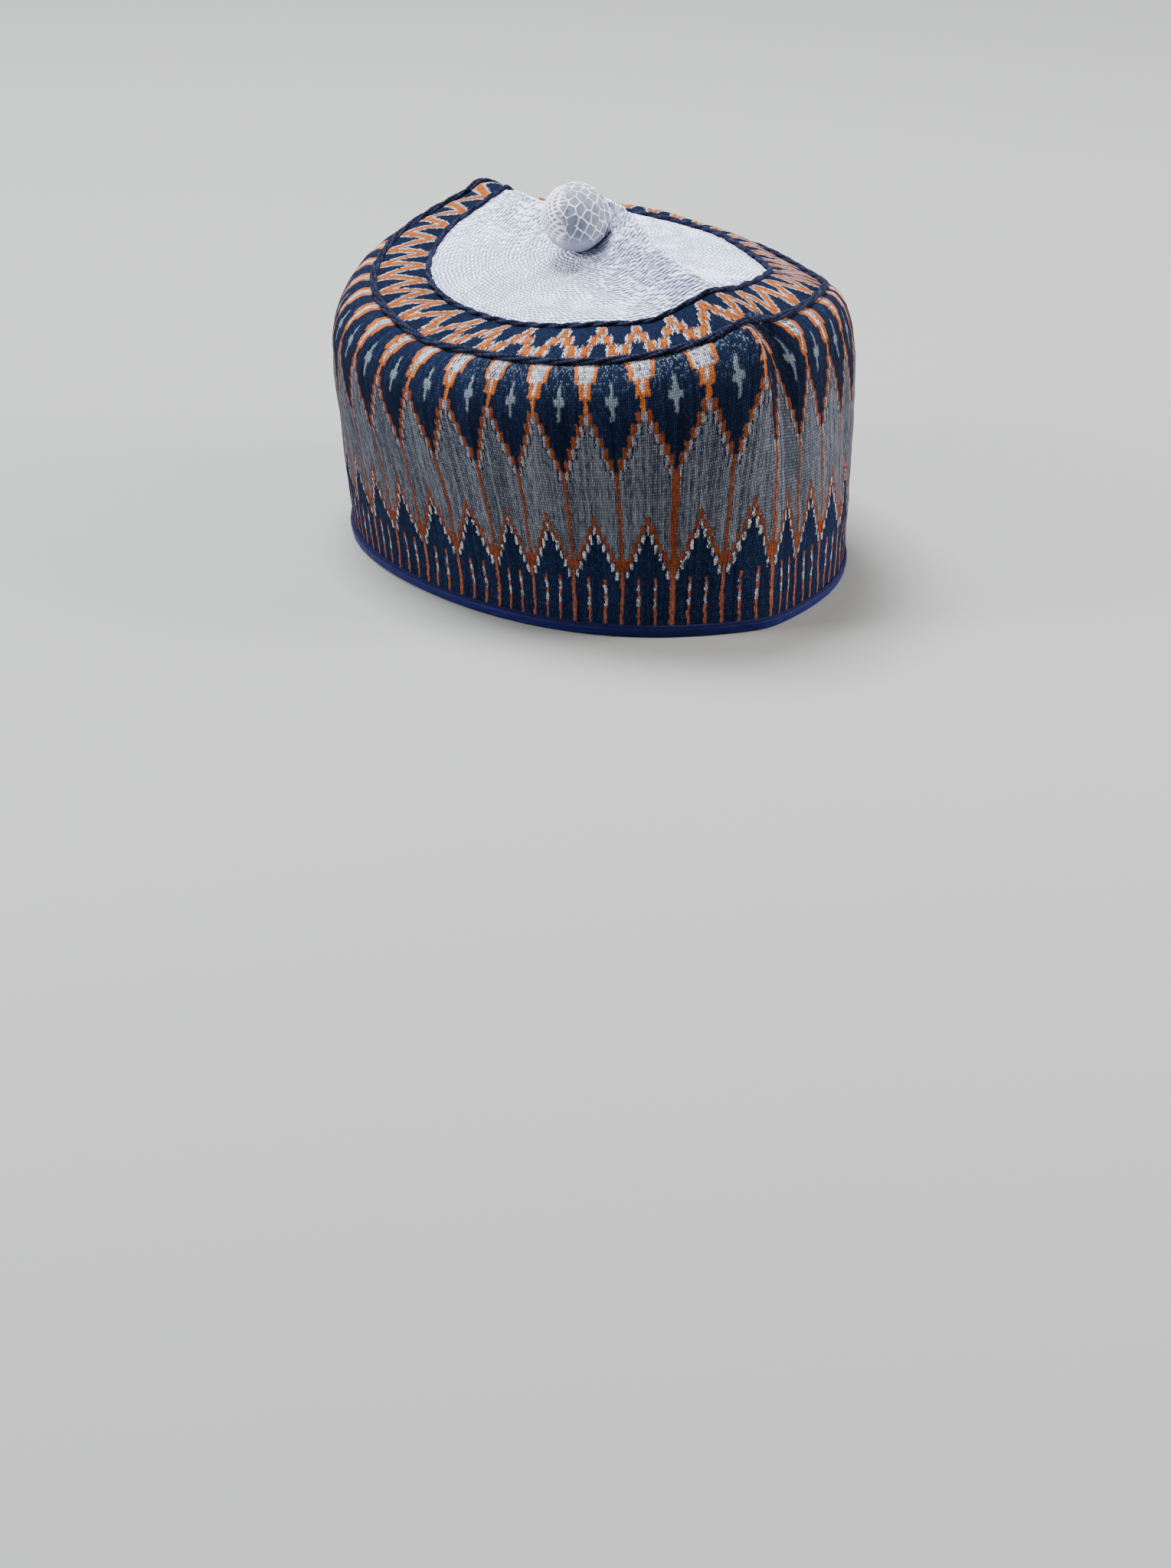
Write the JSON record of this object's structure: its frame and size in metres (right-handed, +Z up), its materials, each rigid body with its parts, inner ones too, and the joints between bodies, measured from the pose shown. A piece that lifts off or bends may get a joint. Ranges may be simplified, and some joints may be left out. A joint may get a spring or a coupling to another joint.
{
  "type": "knitted cap with crocheted crown and ball knob",
  "caption": "Igbo-style knitted cap: navy, rust and grey patterned side band and top ring, dark corded seams, white crocheted crown tented into a crest, grey ball knob and satin-bound rim.",
  "frame": {"origin": "the middle of the floor under the cap, in the plane of its rim", "axes": "+Z is up. -Y is the wearer's front, where the side band has its crease, and +Y the back. +X is the wearer's left, on the right of someone who looks at the front."},
  "size_m": [0.173, 0.2138, 0.1345],
  "materials": {
    "navy_knit": "matt knitted wool, navy with rust, grey and white pattern stitches",
    "ring_knit": "matt knitted wool, navy with an orange and white zigzag",
    "blue_satin": "soft satin sheen",
    "dark_cord": "matt twisted yarn",
    "white_crochet": "matt white crochet",
    "grey_ball": "matt felted ball under a thin thread net"
  },
  "bodies": {
    "root": {"side_band": "navy_knit", "rim_binding": "blue_satin", "shoulder_cord": "dark_cord", "top_ring": "ring_knit", "crown_cord": "dark_cord", "crown_disc": "white_crochet", "knob": "grey_ball"}
  },
  "joints": []
}
